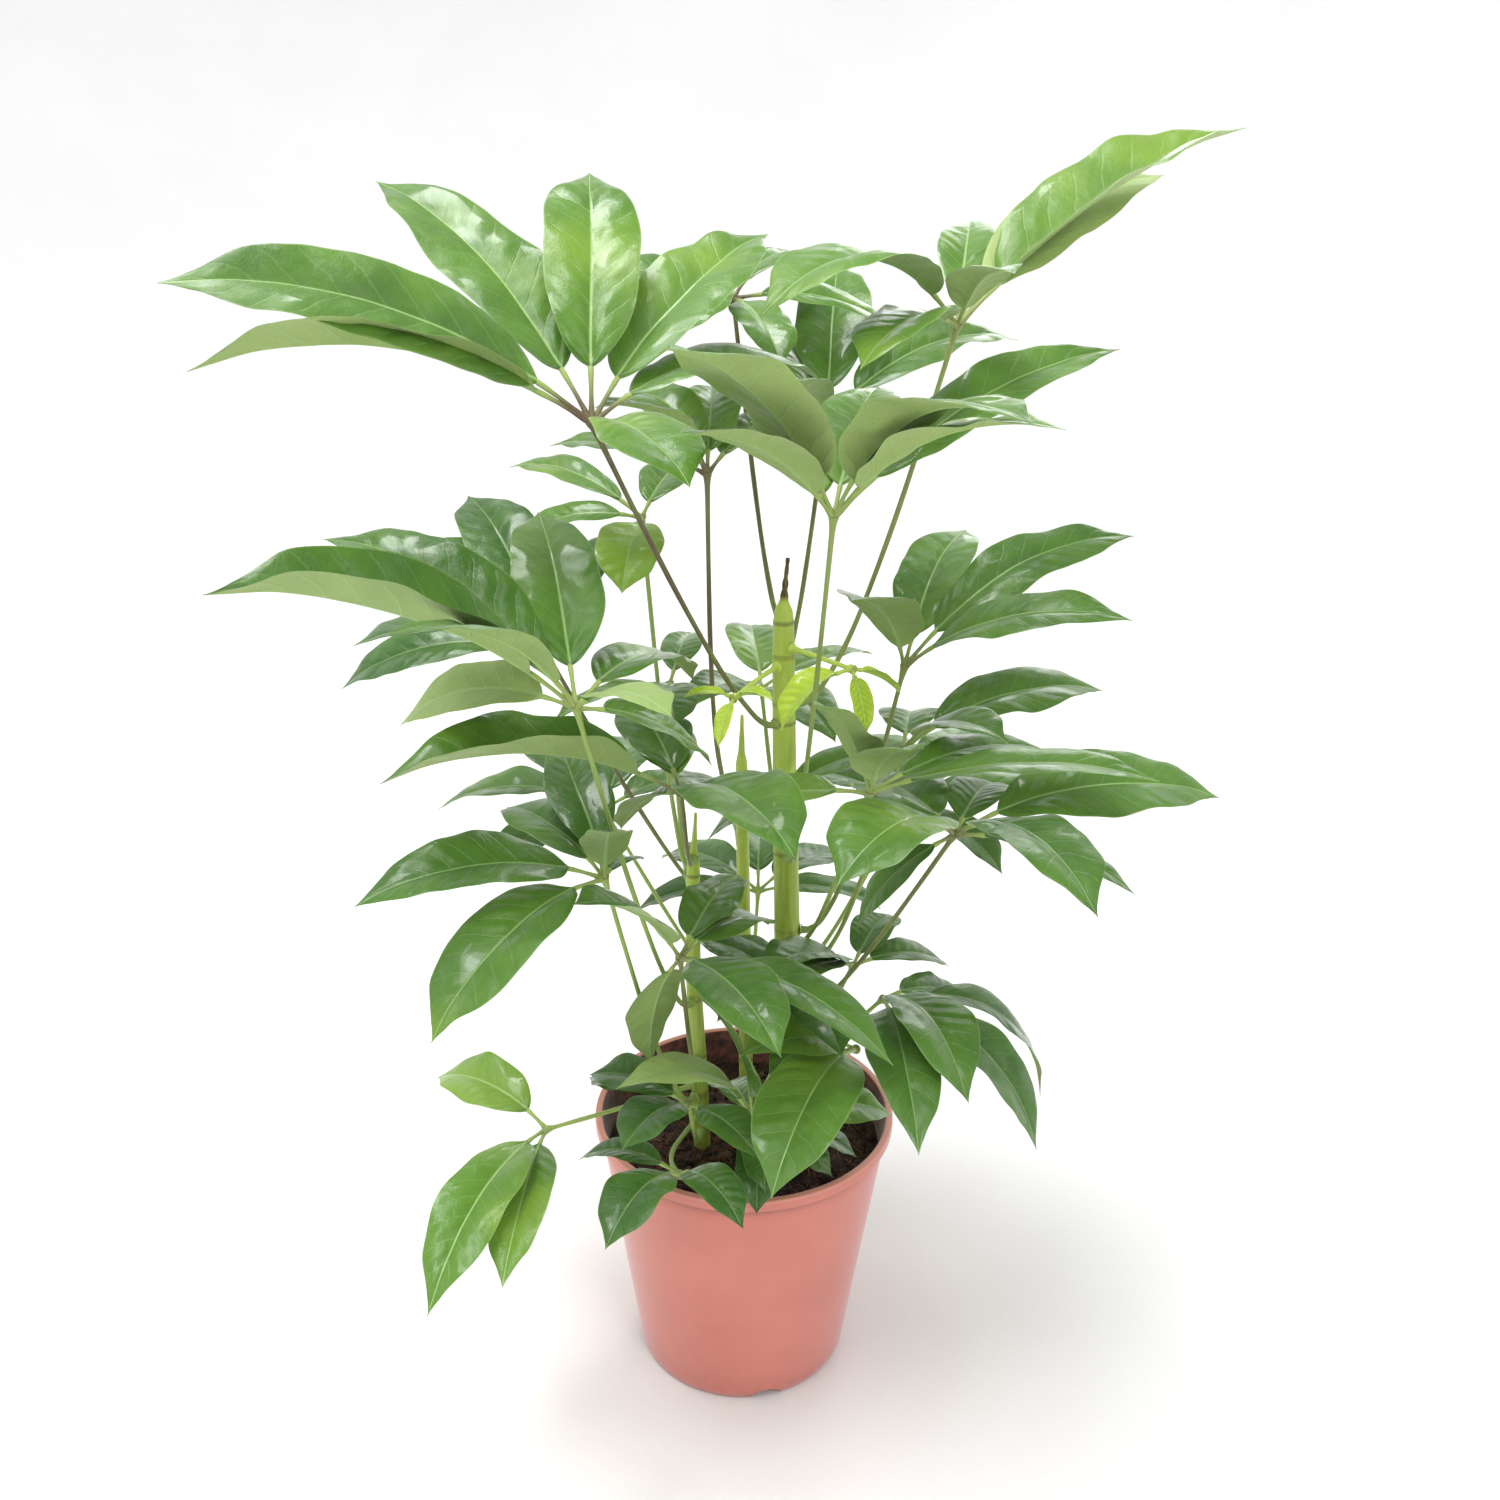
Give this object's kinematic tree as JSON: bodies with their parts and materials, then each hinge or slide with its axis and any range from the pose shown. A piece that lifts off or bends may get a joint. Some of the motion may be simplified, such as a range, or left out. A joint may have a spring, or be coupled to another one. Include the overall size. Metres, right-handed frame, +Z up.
{
  "type": "potted umbrella plant",
  "caption": "Umbrella plant with whorled glossy green leaflets on long petioles, growing on upright stems in a terracotta-coloured plastic nursery pot.",
  "frame": {"origin": "centre of the pot's foot, on the surface that the pot stands on; the crown is balanced over it, so it also lies within 6 mm of the bottom centre of the bounding box", "axes": "+Z up along the pot's axis; -Y towards the front, the side that the leaf on the pot's rim faces; +X to the right seen from the front"},
  "size_m": [0.6421, 0.557, 0.9609],
  "materials": {
    "pot_plastic": "injection-moulded polypropylene in terracotta colour, satin",
    "soil": null,
    "stem": "smooth green to olive young bark",
    "leaf": null,
    "young_leaf": null
  },
  "bodies": {
    "root": {"pot": "pot_plastic", "soil": "soil", "main_stem": "stem", "left_stem": "stem", "middle_stem": "stem", "leaf_top_left": "leaf", "leaf_top_right": "leaf", "leaf_top_centre": "leaf", "leaf_top_back": "leaf", "leaf_top_far": "leaf", "leaf_behind_bud": "leaf", "leaf_far_left": "leaf", "leaf_left_front": "leaf", "leaf_left_back": "leaf", "leaf_centre_left": "leaf", "leaf_centre_back": "leaf", "leaf_behind_stem": "leaf", "leaf_right_upper": "leaf", "leaf_right_middle": "leaf", "leaf_mid_right": "leaf", "leaf_right_front": "leaf", "leaf_low_left": "leaf", "leaf_low_front": "leaf", "leaf_low_centre": "leaf", "leaf_low_right": "leaf", "leaf_rim_right": "leaf", "leaf_gloss_front": "leaf", "leaf_pale_front": "leaf", "leaf_soil_left": "leaf", "leaf_soil_centre": "leaf", "leaf_rim_front": "leaf", "leaf_hanging_left": "leaf", "leaf_back_left": "leaf", "leaf_back_right": "leaf", "leaf_back_low": "leaf", "young_leaf_right": "young_leaf", "young_leaf_left": "young_leaf"}
  },
  "joints": []
}
